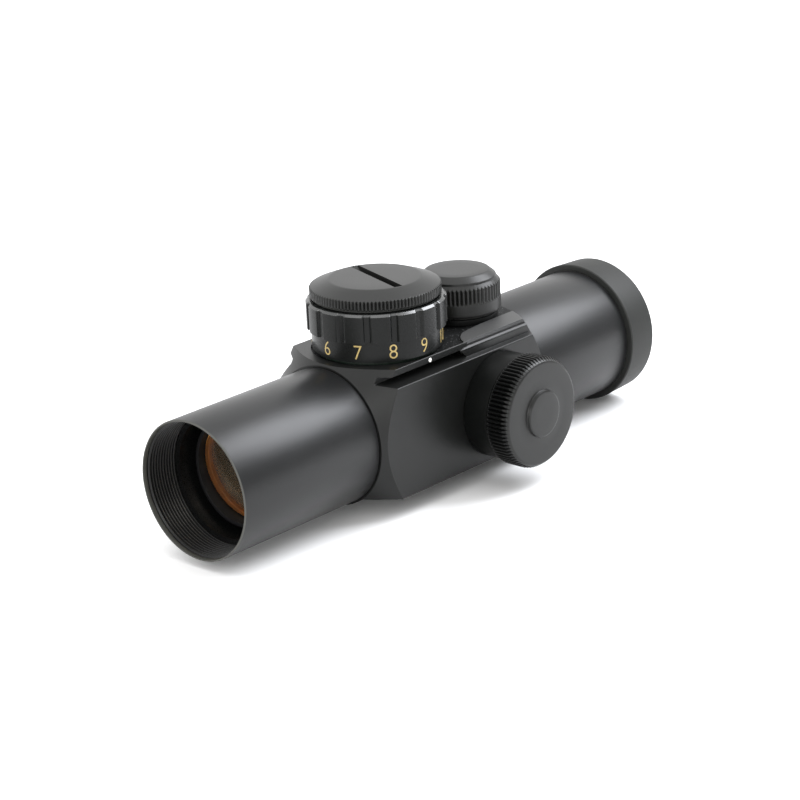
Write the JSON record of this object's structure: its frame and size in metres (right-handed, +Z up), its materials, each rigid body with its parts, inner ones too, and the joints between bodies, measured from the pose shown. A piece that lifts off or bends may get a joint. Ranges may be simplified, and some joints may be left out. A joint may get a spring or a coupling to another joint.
{
  "type": "red dot finder",
  "caption": "Tube-type red dot finder: 30 mm tube with a saddle, tilted coated objective, illumination dial with battery cap, and capped elevation and windage adjusters.",
  "frame": {"origin": "On the optical axis, midway between the two ring seats, at the middle of the saddle's length", "axes": "+Y along the tube from the objective to the eyepiece, +Z up through the dial and the elevation turret, +X out of the windage turret"},
  "size_m": [0.0461, 0.1347, 0.0475],
  "materials": {
    "tube_black": "fine satin black anodised, lightly bead blasted",
    "saddle_black": "satin black anodised with a fine blasted grain",
    "turret_black": "satin black anodised, turned and knurled",
    "dial_black": "semi-gloss black with pale numerals",
    "cap_black": "satin black anodised, fine turned top and knurled rim",
    "rubber_black": "matte black rubber",
    "inner_black": "matte black anodised, anti-reflection",
    "plastic_black": "matte black moulded",
    "lens_coated": "amber dichroic coating on clear glass",
    "clear_glass": "clear coated glass",
    "brass_plain": "plain turned brass",
    "steel_plain": "plain bright steel",
    "cell_steel": "bright nickel-plated steel",
    "board_green": "glass-epoxy board with solder mask",
    "led_red": "clear red resin",
    "wire_red": "thin insulated wire"
  },
  "bodies": {
    "housing": {"objective_tube": "tube_black", "saddle_housing": "saddle_black", "eyepiece_tube": "tube_black", "eyepiece_ring": "rubber_black", "eyepiece_window": "clear_glass", "window_seal": "rubber_black", "window_retainer": "inner_black", "front_joint_seal": "rubber_black", "rear_joint_seal": "rubber_black", "return_spring": "steel_plain", "gimbal_pin_right": "steel_plain", "gimbal_pin_left": "steel_plain", "led_lead": "wire_red", "switch_board": "board_green", "dial_hub": "plastic_black", "hub_screw_left": "steel_plain", "hub_screw_right": "steel_plain", "negative_contact": "brass_plain", "dial_seal": "rubber_black", "dial_detent_ball": "steel_plain", "dial_detent_spring": "steel_plain", "elevation_base": "turret_black", "elevation_click_ball": "steel_plain", "elevation_click_spring": "steel_plain", "windage_base": "turret_black", "windage_click_ball": "steel_plain", "windage_click_spring": "steel_plain"},
    "gimbal": {"gimbal_ring": "inner_black", "gimbal_pin_top": "steel_plain", "gimbal_pin_bottom": "steel_plain"},
    "erector": {"inner_tube": "inner_black", "lens_front_element": "lens_coated", "lens_rear_element": "clear_glass", "lens_seat_ring": "inner_black", "led_holder": "plastic_black", "led_emitter": "led_red"},
    "dial": {"dial_ring": "dial_black", "dial_wiper": "brass_plain"},
    "battery_cap_carrier": {"battery_cap_seal": "rubber_black"},
    "battery_cap_rise": {"battery_contact": "brass_plain"},
    "battery_cap": {"battery_cap": "cap_black"},
    "coin_cell": {"coin_cell": "cell_steel"},
    "elevation_cap_carrier": {"elevation_cap_seal": "rubber_black"},
    "elevation_cap_rise": {"elevation_cap_gasket": "rubber_black"},
    "elevation_cap": {"elevation_cap": "turret_black"},
    "elevation_screw": {"elevation_screw": "brass_plain"},
    "elevation_plunger": {"elevation_plunger": "steel_plain"},
    "windage_cap_carrier": {"windage_cap_seal": "rubber_black"},
    "windage_cap_rise": {"windage_cap_gasket": "rubber_black"},
    "windage_cap": {"windage_cap": "turret_black"},
    "windage_screw": {"windage_screw": "brass_plain"},
    "windage_plunger": {"windage_plunger": "steel_plain"}
  },
  "joints": [
    {"name": "dial_turn", "type": "hinge", "parent": "housing", "child": "dial", "pos_m": [0, -0.0102, 0], "axis": [0, 0, 1], "range_deg": [-60, 270]},
    {"name": "battery_cap_off", "type": "slide", "parent": "dial", "child": "battery_cap_carrier", "axis": [0, 0, 1], "range_m": [0, 0.03]},
    {"name": "battery_cap_thread", "type": "slide", "parent": "battery_cap_carrier", "child": "battery_cap_rise", "axis": [0, 0, 1], "range_m": [0, 0.0023]},
    {"name": "battery_cap_turn", "type": "hinge", "parent": "battery_cap_rise", "child": "battery_cap", "pos_m": [0, -0.0102, 0], "axis": [0, 0, 1], "range_deg": [0, 1080]},
    {"name": "coin_cell_lift", "type": "slide", "parent": "housing", "child": "coin_cell", "axis": [0, 0, 1], "range_m": [0, 0.0151]},
    {"name": "elevation_cap_off", "type": "slide", "parent": "housing", "child": "elevation_cap_carrier", "axis": [0, 0, 1], "range_m": [0, 0.015]},
    {"name": "elevation_cap_thread", "type": "slide", "parent": "elevation_cap_carrier", "child": "elevation_cap_rise", "axis": [0, 0, 1], "range_m": [0, 0.0023]},
    {"name": "elevation_cap_turn", "type": "hinge", "parent": "elevation_cap_rise", "child": "elevation_cap", "pos_m": [0, 0.0166, 0], "axis": [0, 0, 1], "range_deg": [0, 1080]},
    {"name": "elevation_screw_turn", "type": "hinge", "parent": "housing", "child": "elevation_screw", "pos_m": [0, 0.0166, 0], "axis": [0, 0, 1], "range_deg": [-540, 540]},
    {"name": "elevation_plunger_travel", "type": "slide", "parent": "housing", "child": "elevation_plunger", "axis": [0, 0, 1], "range_m": [-0.0008, 0.0008]},
    {"name": "gimbal_tilt", "type": "hinge", "parent": "housing", "child": "gimbal", "pos_m": [0, -0.0468, 0], "axis": [1, 0, 0], "range_deg": [-0.75, 0.75], "deforming": ["return_spring"]},
    {"name": "windage_cap_off", "type": "slide", "parent": "housing", "child": "windage_cap_carrier", "axis": [1, 0, 0], "range_m": [0, 0.015]},
    {"name": "windage_cap_thread", "type": "slide", "parent": "windage_cap_carrier", "child": "windage_cap_rise", "axis": [1, 0, 0], "range_m": [0, 0.0023]},
    {"name": "windage_cap_turn", "type": "hinge", "parent": "windage_cap_rise", "child": "windage_cap", "pos_m": [0, 0.0096, 0], "axis": [1, 0, 0], "range_deg": [0, 1080]},
    {"name": "windage_screw_turn", "type": "hinge", "parent": "housing", "child": "windage_screw", "pos_m": [0, 0.0096, 0], "axis": [1, 0, 0], "range_deg": [-540, 540]},
    {"name": "windage_plunger_travel", "type": "slide", "parent": "housing", "child": "windage_plunger", "axis": [1, 0, 0], "range_m": [-0.0008, 0.0008]},
    {"name": "erector_pan", "type": "hinge", "parent": "gimbal", "child": "erector", "pos_m": [0, -0.0468, 0], "axis": [0, 0, 1], "range_deg": [-0.8, 0.8]}
  ],
  "couplings": [
    {"joint": "battery_cap_thread", "follows": "battery_cap_turn", "m_per_rad": 0.00011937},
    {"joint": "coin_cell_lift", "follows": "battery_cap_off", "ratio": 0.5},
    {"joint": "elevation_cap_thread", "follows": "elevation_cap_turn", "m_per_rad": 0.00011937},
    {"joint": "windage_cap_thread", "follows": "windage_cap_turn", "m_per_rad": 0.00011937},
    {"joint": "elevation_plunger_travel", "follows": "elevation_screw_turn", "m_per_rad": 0.000079577},
    {"joint": "gimbal_tilt", "follows": "elevation_screw_turn", "ratio": 0.0012552},
    {"joint": "windage_plunger_travel", "follows": "windage_screw_turn", "m_per_rad": 0.000079577},
    {"joint": "erector_pan", "follows": "windage_screw_turn", "ratio": -0.0014109}
  ]
}
